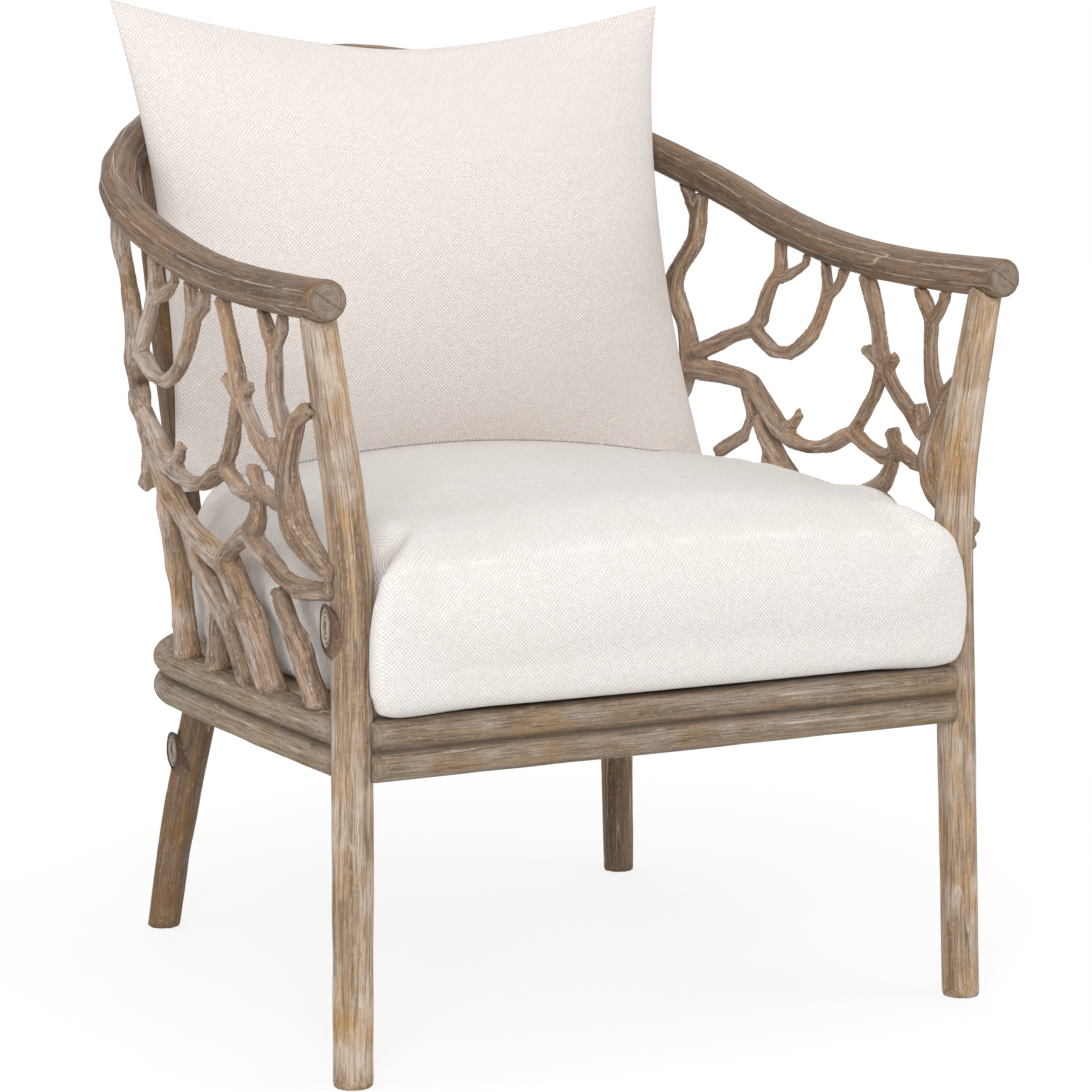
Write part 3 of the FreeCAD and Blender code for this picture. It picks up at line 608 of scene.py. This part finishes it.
def turnedPiece(name, nodeName, seed, wood):
    k = turnedLook
    piece = joinedCopy(name, [nodeName])
    remesh(piece, k["voxel"])
    mesh = piece.data
    edges = readEdges(mesh)
    points = relax(readPoints(mesh), edges, k["rounds"])
    if nodeName in knotSpans:
        points = soften(trimStub(points, *knotSpans[nodeName]), edges, 1)
    writePoints(mesh, points)
    normals = readNormals(mesh)
    across = soften(normals, edges, k["acrossRounds"])
    grain = across * k["core"] + points * k["stretch"]
    groove = softNoise(grain * k["grooves"], seed + 3)
    lift = softNoise(points * k["waves"], seed) * k["wave"] + groove * k["groove"]
    moved = points + normals * lift[:, None]
    moved[:, 2] = np.maximum(moved[:, 2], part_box(nodeName)[0].z)  # feet end flat on the floor
    writePoints(mesh, moved)
    writeAttribute(mesh, "grain", grain + seed * k["seedStep"])
    hollow = np.clip(-groove * k["dirtSlope"] - k["dirtStart"], 0, 1) * k["dirt"]
    if "seat_rail" in nodeName:  # painted shade in the groove between the two beads
        middle = (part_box(nodeName)[0].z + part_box(nodeName)[1].z) / 2
        away = (points[:, 2] - middle) / k["beadGrooveShadeWide"]
        hollow = np.maximum(hollow, k["beadGrooveShade"] * np.exp(-away ** 2))
    writeAttribute(mesh, "hollow", hollow)
    if nodeName in bentRails:
        writeAttribute(mesh, "girth", across[:, 2] / np.maximum(np.linalg.norm(across, axis=1), 1e-9))
    coat(mesh, wood)
    shadeSmooth(piece)
    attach(piece, "frame")
    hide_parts(nodeName)
    return piece


def woodFor(nodeName):
    if "post" in nodeName:
        return postWood
    if "leg" in nodeName or "stile" in nodeName:
        return shadedLegWood
    return seatRailWood if "seat_rail" in nodeName else shadedRailWood


turnedNames = ["arm_rail_left", "arm_rail_right", "crest_rail", "front_post_left", "front_post_right",
               "rear_leg_left", "rear_leg_right", "rear_stile_left", "rear_stile_right", "front_seat_rail",
               "side_seat_rail_left", "side_seat_rail_right", "rear_seat_rail"]
for number, nodeName in enumerate(turnedNames):
    turnedPiece(nodeName + "_wood", nodeName, number + 11, woodFor(nodeName))
print("posts, legs and rails done")


# branch lattice: carved sticks grown together at their forks
latticeLook = {"voxel": 0.0020, "crotch": 6, "skin": 0.0004, "core": 0.0075, "stretch": 0.06,
               "seedStep": 0.017, "acrossRounds": 5, "facetLong": 0.042, "facetRound": 0.95, "facet": 0.0038,
               "facetMean": 0.32, "ridge": 0.0012, "ridges": 420.0, "lump": 0.0015, "lumps": 36.0,
               "fullFoot": 0.0024, "fullTop": 0.20, "fullSpan": 0.16, "flare": 0.0035, "flareTop": 0.045,
               "ridgeDirt": 0.55, "flatDirt": 1.2, "flatDeep": 0.16, "dirtStart": 0.10}
sideSticks = ["front_trunk", "rear_upright", "wave_branch", "front_fork", "second_upright", "diagonal_branch",
              "cup_branch", "main_foot", "second_foot", "rear_foot", "link", "bowl", "front_foot"]
backSticks = ["back_wave", "back_upright_a", "back_upright_b", "back_upright_c", "back_upright_d",
              "back_foot_a", "back_foot_b", "back_foot_c"]


def latticePiece(name, sticks, seed, mirrored):
    k = latticeLook
    piece = joinedCopy(name, sticks)
    remesh(piece, k["voxel"])
    mesh = piece.data
    edges = readEdges(mesh)
    points = soften(readPoints(mesh), edges, k["crotch"])
    writePoints(mesh, points)
    normals = readNormals(mesh)
    points = points + normals * k["skin"]
    across = soften(normals, edges, k["acrossRounds"])
    grain = across * k["core"] + points * k["stretch"]
    flipped = np.array([-1.0, 1.0, 1.0]) if mirrored else np.ones(3)  # both sides are carved alike
    local = points * flipped
    facet = facetDepth(local / k["facetLong"] + across * flipped * k["facetRound"], seed)
    ridge = softNoise(grain * flipped * k["ridges"], seed + 5)
    lump = softNoise(local * k["lumps"], seed + 9)
    height = points[:, 2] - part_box("seat_deck")[0].z
    lift = lump * k["lump"] + ridge * k["ridge"] + (facet - k["facetMean"]) * k["facet"]
    # stouter towards the seat rail, and flared where a stick meets it
    lift += k["fullFoot"] * np.clip((k["fullTop"] - height) / k["fullSpan"], 0, 1)
    lift += k["flare"] * np.clip(1 - height / k["flareTop"], 0, 1) ** 2
    writePoints(mesh, points + normals * lift[:, None])
    writeAttribute(mesh, "grain", grain + seed * k["seedStep"])
    worn = np.clip(-ridge, 0, 1) * k["ridgeDirt"] + np.clip(k["flatDeep"] - facet, 0, 1) * k["flatDirt"]
    writeAttribute(mesh, "hollow", np.clip(worn - k["dirtStart"], 0, 1))
    coat(mesh, branchWood)
    shadeSmooth(piece)
    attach(piece, "frame")
    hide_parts(*sticks)
    print(name, len(mesh.polygons) * 2, "triangles")
    return piece


latticePiece("lattice_left", [n + "_left" for n in sideSticks], 41, False)
latticePiece("lattice_right", [n + "_right" for n in sideSticks], 41, True)
latticePiece("lattice_back", backSticks, 57, False)
print("branch lattice done")

for nodeName, material in (("seat_deck", deckWood), ("corner_block_front_left", blockWood),
                           ("corner_block_front_right", blockWood), ("corner_block_rear_left", blockWood),
                           ("corner_block_rear_right", blockWood), ("rail_dowel_left", blockWood),
                           ("rail_dowel_right", blockWood)):
    coat(nodes[nodeName].data, material)


# cloth swelling under a gentle pressure, each point held near its start
def swell(piece, pressure, cap, frames, stiff, held=None):
    mesh = piece.data
    start = readPoints(mesh)
    cloth = piece.modifiers.new("swell", "CLOTH")
    cloth.settings.quality = 4
    cloth.settings.mass = 0.25
    cloth.settings.tension_stiffness = stiff
    cloth.settings.compression_stiffness = stiff * 0.5
    cloth.settings.shear_stiffness = stiff * 0.4
    cloth.settings.bending_stiffness = 0.6
    cloth.settings.use_pressure = True
    cloth.settings.uniform_pressure_force = pressure
    cloth.settings.effector_weights.gravity = 0.0
    if held is not None:  # a sewn edge keeps its line
        group = piece.vertex_groups.new(name="seam")
        group.add(held, 1.0, "REPLACE")
        cloth.settings.vertex_group_mass = "seam"
    cloth.collision_settings.use_collision = False
    cloth.collision_settings.use_self_collision = False
    cloth.point_cache.frame_start = 1
    cloth.point_cache.frame_end = frames
    for tick in range(1, frames + 1):
        scene.frame_set(tick)
    graph = bpy.context.evaluated_depsgraph_get()
    end = readPoints(piece.evaluated_get(graph).to_mesh())
    piece.evaluated_get(graph).to_mesh_clear()
    piece.modifiers.clear()
    piece.vertex_groups.clear()
    scene.frame_set(1)
    step = end - start
    far = np.linalg.norm(step, axis=1)
    step *= np.minimum(1.0, cap / np.maximum(far, 1e-9))[:, None]
    return start + step


seatLook = {"voxel": 0.0064, "inset": 0.005, "pressure": 4.0, "cap": 0.010, "frames": 16, "stiff": 14.0,
            "sideFill": 0.010, "sideTop": 0.78, "sideSpan": 0.35, "footFill": 0.010, "footTop": 0.045,
            "postsBack": -0.292, "postsSpan": 0.035, "solidRounds": 16, "fillRounds": 4, "girthRounds": 60,
            "keepGirth": 0.9, "quickInset": 0.001, "endRounds": 3, "facingRounds": 24}


def seatCushion():
    k = seatLook
    piece = joinedCopy("seat_cushion_linen", ["seat_cushion"])
    remesh(piece, k["voxel"])
    mesh = piece.data
    edges = readEdges(mesh)
    solid = relax(readPoints(mesh), edges, k["solidRounds"])
    writePoints(mesh, solid)
    normals = readNormals(mesh)
    low, high = (corner.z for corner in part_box("seat_cushion"))
    rise = solid[:, 2] - low
    behind = np.clip((solid[:, 1] - k["postsBack"]) / k["postsSpan"], 0, 1)
    below = np.clip((k["sideTop"] - rise / (high - low)) / k["sideSpan"], 0, 1)
    foot = np.clip(1 - rise / k["footTop"], 0, 1)
    # behind the posts it fills out to the branches
    fill = behind * (k["sideFill"] * below + k["footFill"] * foot)
    solid[:, :2] += normals[:, :2] * fill[:, None]
    solid = relax(solid, edges, k["fillRounds"])
    writePoints(mesh, solid)
    normals = readNormals(mesh)
    writePoints(mesh, solid - normals * k["inset"])
    points = swell(piece, k["pressure"], k["cap"], k["frames"], k["stiff"])
    drawn = ((points - solid) * normals).sum(1)[:, None]
    # keeps the girth, and leaves the slack and tension
    points = points - normals * soften(drawn, edges, k["girthRounds"]) * k["keepGirth"]
    points = relax(points, edges, k["endRounds"])
    points[:, 2] = np.maximum(points[:, 2], low)
    writePoints(mesh, points)
    writeAttribute(mesh, "facing", soften(readNormals(mesh), edges, k["facingRounds"]))
    coat(mesh, seatLinen)
    subdivide(piece)
    shadeSmooth(piece)
    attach(piece, "frame")
    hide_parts("seat_cushion")
    return piece


# sizes in pairs are for the pillow's two hands, at -x and +x
pillowLook = {"top": (0.289, 0.2925), "foot": (0.287, 0.267), "waist": (0.021, 0.026), "height": 0.455,
              "lean": 18.5, "dip": 0.048, "footDip": 0.004, "dipPower": 1.6, "frontSwell": 0.078,
              "backSwell": 0.090, "sidePower": 0.56, "topPower": 0.78, "footPower": 0.95, "columns": 110,
              "rows": 92, "pressure": 3.0, "cap": 0.014, "frames": 14, "stiff": 9.0, "restRows": 0.28,
              "restPower": 1.5, "topSlice": 0.0005, "facingRounds": 3}
restLook = {"clear": -0.0004, "lowest": -0.034, "highest": 0.03, "cornerPart": 8, "cornerDrop": 0.005,
            "reach": 0.11, "ease": 10, "above": 0.9, "missDrop": 0.02}


# lower edge let down on to the seat, a hair into it, because subdivision then draws the edge back up
def restOn(points, edges, seat, lowSeam, column, spread):
    k = restLook
    tree = BVHTree.FromPolygons([v.co for v in seat.data.vertices], [f.vertices for f in seat.data.polygons])

    def toSeat(spot):
        hit = tree.ray_cast(Vector((spot[0], spot[1], k["above"])), Vector((0, 0, -1)))[0]
        return (hit.z if hit is not None else spot[2] - k["missDrop"]) + k["clear"] - spot[2]

    points = points.copy()
    shift = np.clip([toSeat(points[i]) for i in lowSeam], k["lowest"], k["highest"])
    outer = len(lowSeam) // k["cornerPart"]  # the corners stay out of the gap beside the seat
    shift[:outer] = np.maximum(shift[:outer], shift[outer] - k["cornerDrop"])
    shift[-outer:] = np.maximum(shift[-outer:], shift[-outer - 1] - k["cornerDrop"])
    points[:, 2] += shift[column] * spread
    lift = np.zeros((len(points), 1))
    for i in np.nonzero(points[:, 2] < points[:, 2].min() + k["reach"])[0]:
        lift[i] = max(0.0, toSeat(points[i]))
    eased = np.maximum(lift, soften(lift, edges, k["ease"]))
    points[:, 2] += eased[:, 0]
    return points


def backPillow(seat):
    p = pillowLook
    cols, rows = p["columns"], p["rows"]
    solid = readPoints(nodes["back_pillow"].data)
    top = solid[solid[:, 2] > solid[:, 2].max() - p["topSlice"]]
    lean = math.radians(p["lean"])
    baseY = top[:, 1].mean() - p["height"] * math.sin(lean)
    baseZ = solid[:, 2].max() - p["height"] * math.cos(lean)
    points, faces, index = [], [], {}
    half = p["height"] / 2
    for sideNumber, swellBy in ((0, -p["frontSwell"]), (1, p["backSwell"])):
        for j in range(rows + 1):
            for i in range(cols + 1):
                a = math.sin((i / cols - 0.5) * math.pi) * 0.5 + (i / cols - 0.5)  # closer rows near the seam
                b = math.sin((j / rows - 0.5) * math.pi) * 0.5 + (j / rows - 0.5)
                edge = i in (0, cols) or j in (0, rows)
                if edge and sideNumber == 1:
                    index[(1, i, j)] = index[(0, i, j)]
                    continue
                sag = 1 - abs(a) ** p["dipPower"]
                hand = 0 if a < 0 else 1
                wide = p["foot"][hand] + (p["top"][hand] - p["foot"][hand]) * (b + 1) / 2
                x = a * (wide - p["waist"][hand] * (1 - b * b) * a * a)  # sides drawn in between the corners
                h = half + half * b - (p["dip"] if b > 0 else p["footDip"]) * b * sag
                power = p["topPower"] if b > 0 else p["footPower"]
                thick = swellBy * (1 - a * a) ** p["sidePower"] * (1 - b * b) ** power
                y = thick * math.cos(lean) + h * math.sin(lean)
                z = -thick * math.sin(lean) + h * math.cos(lean)
                index[(sideNumber, i, j)] = len(points)
                points.append((x, baseY + y, baseZ + z))
        for j in range(rows):
            for i in range(cols):
                ring = [index[(sideNumber, i, j)], index[(sideNumber, i + 1, j)],
                        index[(sideNumber, i + 1, j + 1)], index[(sideNumber, i, j + 1)]]
                faces.append(ring if sideNumber == 0 else ring[::-1])
    mesh = bpy.data.meshes.new("back_pillow_linen")
    mesh.from_pydata(points, [], faces)
    mesh.update()
    piece = newObject("back_pillow_linen", mesh)
    edges = readEdges(mesh)
    seam = [index[(0, i, j)] for i in range(cols + 1) for j in range(rows + 1)
            if i in (0, cols) or j in (0, rows)]
    writePoints(mesh, swell(piece, p["pressure"], p["cap"], p["frames"], p["stiff"], seam))
    spread = np.zeros(len(points))
    column = np.zeros(len(points), int)
    for (sideNumber, i, j), k in index.items():
        spread[k] = max(0.0, 1 - j / (rows * p["restRows"])) ** p["restPower"]
        column[k] = i
    lowSeam = [index[(0, i, 0)] for i in range(cols + 1)]
    writePoints(mesh, restOn(readPoints(mesh), edges, seat, lowSeam, column, spread))
    facing = soften(readNormals(mesh), edges, p["facingRounds"])
    turned = facing.copy()  # the weave lies in the pillow's own plane
    turned[:, 1] = facing[:, 1] * math.cos(lean) - facing[:, 2] * math.sin(lean)
    turned[:, 2] = facing[:, 1] * math.sin(lean) + facing[:, 2] * math.cos(lean)
    writeAttribute(mesh, "facing", turned)
    coat(mesh, pillowLinen)
    subdivide(piece)
    shadeSmooth(piece)
    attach(piece, "pillow")
    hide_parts("back_pillow")
    return piece


backPillow(seatCushion())
print("seat cushion and back pillow done")


floorLook = {"half": 9.0, "tone": 0.86, "rough": 0.9, "glow": 1.05, "near": 0.55, "far": 1.5,
             "nearShare": 0.74}
worldLook = {"light": 0.56, "seen": 1.0}
# each lamp: its place, what it faces, its width and its power
lampLook = {"key": ((-1.8, -3.2, 2.15), (0, 0, 0.4), 2.0, 82.0),
            "side": ((-3.0, 0.1, 1.4), (0, 0, 0.4), 1.6, 15.0),
            "fill": ((2.8, -2.2, 1.6), (0, 0, 0.4), 2.2, 27.0),
            "top": ((0.2, -0.3, 3.4), (0, 0, 0.3), 2.0, 22.0),
            "back": ((0.9, 3.2, 2.3), (0, 0, 0.4), 2.0, 24.0)}
cameraLook = {"eye": (-1.3517, -2.7174, 0.8132), "aim": (0.009, -0.0755, 0.395), "sensor": 36.0,
              "lens": 109.2, "shiftX": -0.0008, "shiftY": -0.0027, "far": 60.0}


# 1 for the camera, a reflection or a view through something, and 0 for light on the object
def seenDirectly(t):
    path = t.add("ShaderNodeLightPath").outputs
    mirrored = t.math("MAXIMUM", path["Is Glossy Ray"], path["Is Transmission Ray"])
    return t.math("MAXIMUM", path["Is Camera Ray"], mirrored)


def pointAt(holder, spot, aim):
    scene.collection.objects.link(holder)
    holder.location = spot
    holder.rotation_euler = (Vector(aim) - Vector(spot)).to_track_quat("-Z", "Y").to_euler()


def paleFloor():
    f = floorLook
    h = f["half"]
    mesh = bpy.data.meshes.new("floor")
    mesh.from_pydata([(-h, -h, 0), (h, -h, 0), (h, h, 0), (-h, h, 0)], [], [(0, 1, 2, 3)])
    floor = newObject("floor", mesh)
    paper, t, shader = newMaterial("floor_paper")
    shader.inputs["Base Color"].default_value = (f["tone"], f["tone"], f["tone"], 1)
    shader.inputs["Roughness"].default_value = f["rough"]
    shader.inputs["Specular IOR Level"].default_value = 0.0
    glow = t.add("ShaderNodeEmission", [("Color", (1, 1, 1, 1)), ("Strength", f["glow"])]).outputs[0]
    # plain white away from the chair, its shadow near it
    share = t.span(t.length(t.place()), f["near"], f["far"], f["nearShare"], 1.0)
    share = t.math("MULTIPLY", seenDirectly(t), share)
    mixed = t.add("ShaderNodeMixShader", [(0, share), (1, shader.outputs[0]), (2, glow)]).outputs[0]
    t.link(mixed, t.tree.nodes["Material Output"].inputs["Surface"])
    coat(mesh, paper)


def studioLight():
    world = bpy.data.worlds.new("studio")
    scene.world = world
    world.use_nodes = True
    w = Tree(world.node_tree)
    sky = world.node_tree.nodes["Background"]
    sky.inputs["Color"].default_value = (1, 1, 1, 1)
    w.link(w.span(seenDirectly(w), 0.0, 1.0, worldLook["light"], worldLook["seen"]), sky.inputs["Strength"])
    for name, (spot, aim, size, power) in lampLook.items():
        lamp = bpy.data.lights.new(name, "AREA")
        lamp.size = size
        lamp.energy = power
        pointAt(bpy.data.objects.new(name, lamp), spot, aim)


def photoCamera():
    c = cameraLook
    lens = bpy.data.cameras.new("camera")
    lens.sensor_width = c["sensor"]
    lens.lens = c["lens"]
    lens.shift_x = c["shiftX"]
    lens.shift_y = c["shiftY"]
    lens.clip_end = c["far"]
    view = bpy.data.objects.new("camera", lens)
    pointAt(view, c["eye"], c["aim"])
    scene.camera = view


paleFloor()
studioLight()
photoCamera()
print("stage done")
